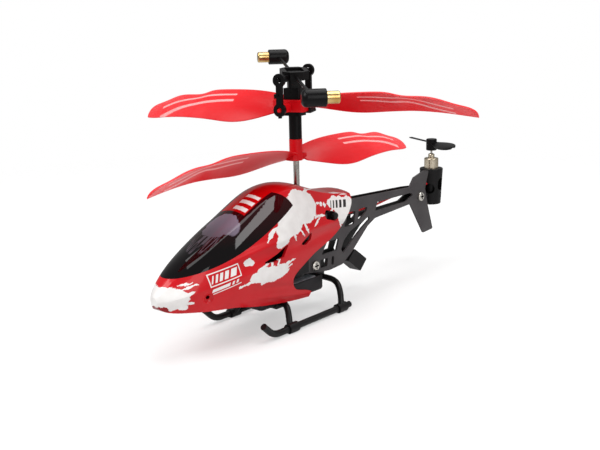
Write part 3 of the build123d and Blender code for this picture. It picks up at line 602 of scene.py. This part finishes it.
def make_foil():
    # Aluminium laminate of a pouch cell: dull silver, creased where it is folded round the cell, with painted
    # shade darkening the creases.
    finish, tree, shader = new_finish("pouch_foil", Metallic=0.75, Roughness=0.38)
    point = place_in_mm(tree)
    crease = add(tree, "ShaderNodeTexVoronoi", {"Vector": point, "Scale": 0.35}, feature="DISTANCE_TO_EDGE")
    crease_and_shade = spread(tree, crease.outputs["Distance"], 0.0, 1.0, 0.0, 0.25)
    # Painted shade: the foil is darker along its creases.
    tree.links.new(blend_colours(tree, crease_and_shade, ink("8B929A"), ink("AEB4BA")), shader.inputs["Base Color"])
    relief(tree, shader, crease_and_shade, 0.05, 0.4)
    return finish


board_lacquer, pouch_foil = make_board(), make_foil()
paint(board_lacquer, "circuit_board")
print("board nodes:", len(board_lacquer.node_tree.nodes), "foil nodes:", len(pouch_foil.node_tree.nodes))

# %% [markdown]
# The lithium cell is a pouch: two sheets of foil round a stack, welded flat at the front and folded up along
# both sides. One soft block is too plain for that, so a block with bevelled edges is the stack, a thin
# plate that reaches out of its front is the weld, and a thin strip along each side is a fold.
# The tail motor's can ends in a dark plastic bell inside its socket, where it shows through the windows. It
# is turned, so a cone with a rounded lower rim is enough.

# %% Pouch cell and motor bell
WELD_LENGTH, WELD_HALF_THICKNESS, WELD_SIDE_GAP, WELD_FRONT_GAP = 2.2 * MM, 0.15 * MM, 0.6 * MM, 0.4 * MM
FOLD_THICKNESS, FOLD_HALF_HEIGHT = 0.25 * MM, 0.9 * MM
STACK_ROUNDING = 1.0 * MM
BELL_LENGTH, BELL_BOTTOM_RADIUS, BELL_TOP_RADIUS, BELL_ROUNDING = 5.0 * MM, 2.6 * MM, 2.8 * MM, 0.5 * MM


def finished_piece(bm, name, finish, body="airframe", smooth=True):
    """Turns a bmesh into a piece that rides on a body."""
    bmesh.ops.recalc_face_normals(bm, faces=bm.faces)
    mesh = bpy.data.meshes.new(name)
    bm.to_mesh(mesh)
    bm.free()
    for face in mesh.polygons:
        face.use_smooth = smooth
    piece = bpy.data.objects.new(name, mesh)
    bpy.context.scene.collection.objects.link(piece)
    mesh.materials.append(finish)
    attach(piece, body)
    return piece


def box_between(bm, low, high):
    """A box from corner to corner, as eight vertices and their faces."""
    made = bmesh.ops.create_cube(bm, size=1.0)["verts"]
    bmesh.ops.scale(bm, verts=made, vec=[high[i] - low[i] for i in range(3)])
    bmesh.ops.translate(bm, verts=made, vec=[(high[i] + low[i]) / 2 for i in range(3)])
    return made


def make_cell():
    low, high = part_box("battery")
    middle_z = (low[2] + high[2]) / 2
    front = low[1] + WELD_LENGTH
    bm = bmesh.new()
    box_between(bm, (low[0], front, low[2]), high)
    bmesh.ops.bevel(bm, geom=bm.edges[:], offset=STACK_ROUNDING, segments=4, profile=0.5, affect="EDGES",
                    material=-1)
    box_between(bm, (low[0] + WELD_SIDE_GAP, low[1] + WELD_FRONT_GAP, middle_z - WELD_HALF_THICKNESS),
                (high[0] - WELD_SIDE_GAP, front + WELD_LENGTH, middle_z + WELD_HALF_THICKNESS))
    for left in (low[0], high[0] - FOLD_THICKNESS):
        box_between(bm, (left, front, middle_z - FOLD_HALF_HEIGHT),
                    (left + FOLD_THICKNESS, high[1] - WELD_LENGTH, middle_z + FOLD_HALF_HEIGHT))
    cell = finished_piece(bm, "pouch_cell", pouch_foil)
    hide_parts("battery")
    return cell


def make_motor_bell():
    low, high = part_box("tail_motor")
    centre = ((low[0] + high[0]) / 2, (low[1] + high[1]) / 2)
    bm = bmesh.new()
    bmesh.ops.create_cone(bm, cap_ends=True, segments=48, radius1=BELL_BOTTOM_RADIUS,
                          radius2=BELL_TOP_RADIUS, depth=BELL_LENGTH)
    bmesh.ops.bevel(bm, geom=[e for e in bm.edges if e.verts[0].co.z < 0 and e.verts[1].co.z < 0],
                    offset=BELL_ROUNDING, segments=3, profile=0.5, affect="EDGES", material=-1)
    bmesh.ops.translate(bm, verts=bm.verts, vec=(*centre, low[2] - BELL_LENGTH / 2))
    bell = finished_piece(bm, "tail_motor_bell", black_nylon, smooth=False)
    return bell


print("new pieces:", make_cell().name, make_motor_bell().name)

# %% [markdown]
# A product shot wants a floor without a horizon. A curved sweep would do, but a disc that fades out does the
# same and keeps its soft shadow. The key light stands in front on the camera's left, a weaker one fills from
# the right, and a wide one overhead carries the roof and the blades. The world is plain white to the camera,
# and much dimmer to the model, or its blacks would turn grey.

# %% Floor and light
ROOM_LIGHT = 0.3
FLOOR_COVER = 0.55
FLOOR_FADE = (0.12, 0.42)  # metres from the middle


def soft_light(name, place, aim, width, height, watts):
    data = bpy.data.lights.new(name, "AREA")
    data.shape, data.size, data.size_y, data.energy = "RECTANGLE", width, height, watts
    light = bpy.data.objects.new(name, data)
    light.location = place
    light.rotation_euler = (Vector(aim) - Vector(place)).to_track_quat("-Z", "Y").to_euler()
    bpy.context.scene.collection.objects.link(light)
    return light


def make_floor():
    bm = bmesh.new()
    bmesh.ops.create_circle(bm, cap_ends=True, segments=96, radius=1.0)
    mesh = bpy.data.meshes.new("floor")
    bm.to_mesh(mesh)
    bm.free()
    floor = bpy.data.objects.new("floor", mesh)
    bpy.context.scene.collection.objects.link(floor)
    finish, tree, shader = new_finish("pale_paper", Roughness=0.9, Base_Color=ink("F6F6F6"))
    place = add(tree, "ShaderNodeTexCoord").outputs["Object"]
    out = add(tree, "ShaderNodeVectorMath", {0: place}, operation="LENGTH").outputs["Value"]
    tree.links.new(spread(tree, out, FLOOR_COVER, 0.0, *FLOOR_FADE), shader.inputs["Alpha"])
    mesh.materials.append(finish)
    return floor


make_floor()
middle = (0, 0.01, 0.045)
soft_light("key", (-0.18, -0.55, 0.62), middle, 0.5, 0.4, 4.1)
soft_light("fill", (0.75, -0.25, 0.30), middle, 0.5, 0.5, 2.1)
soft_light("overhead", (0.05, 0.15, 0.75), middle, 0.7, 0.7, 4.7)
# A small bright panel, placed where the screen mirrors it as a grey band
soft_light("panel", (0.52, 0.22, 0.45), (0.008, -0.028, 0.041), 0.18, 0.13, 0.45)
world = bpy.data.worlds.new("studio")
world.use_nodes = True
seen = add(world.node_tree, "ShaderNodeLightPath").outputs["Is Camera Ray"]
strength = spread(world.node_tree, seen, ROOM_LIGHT, 1.0, 0.0, 1.0)
backdrop = world.node_tree.nodes["Background"]
backdrop.inputs["Color"].default_value = (1, 1, 1, 1)
world.node_tree.links.new(strength, backdrop.inputs["Strength"])
bpy.context.scene.world = world
bpy.context.scene.view_settings.view_transform = "Standard"
print("lights:", len(bpy.data.lights))

# %% [markdown]
# The camera has a lens of about 52 mm and stands 0.3 m from the mast, just above the upper rotor and 41
# degrees round from the nose, so the near side, the nose and the top of the screen all show. It also rolls
# by a little over a degree, so its axes are worked out from three angles, and it isn't aimed at a point.

# %% Camera
SENSOR_WIDTH = 36.0  # millimetres
NEAREST_VISIBLE = 0.01  # metres


def make_camera(place, azimuth, elevation, roll, lens):
    a, e, r = (math.radians(angle) for angle in (azimuth, elevation, roll))
    back = Vector((math.sin(a) * math.cos(e), -math.cos(a) * math.cos(e), math.sin(e)))
    right = Vector((math.cos(a), math.sin(a), 0))
    up = back.cross(right)
    tilted_right = right * math.cos(r) + up * math.sin(r)
    tilted_up = up * math.cos(r) - right * math.sin(r)
    turn = Matrix((tilted_right, tilted_up, back)).transposed()
    data = bpy.data.cameras.new("camera")
    data.lens, data.sensor_width, data.clip_start = lens, SENSOR_WIDTH, NEAREST_VISIBLE
    camera = bpy.data.objects.new("camera", data)
    camera.matrix_world = Matrix.Translation(place) @ turn.to_4x4()
    bpy.context.scene.collection.objects.link(camera)
    bpy.context.scene.camera = camera
    return camera


camera = make_camera((0.19635, -0.22574, 0.10059), azimuth=40.862, elevation=13.049, roll=-1.346, lens=51.83)
print("camera at", [round(value, 3) for value in camera.location])
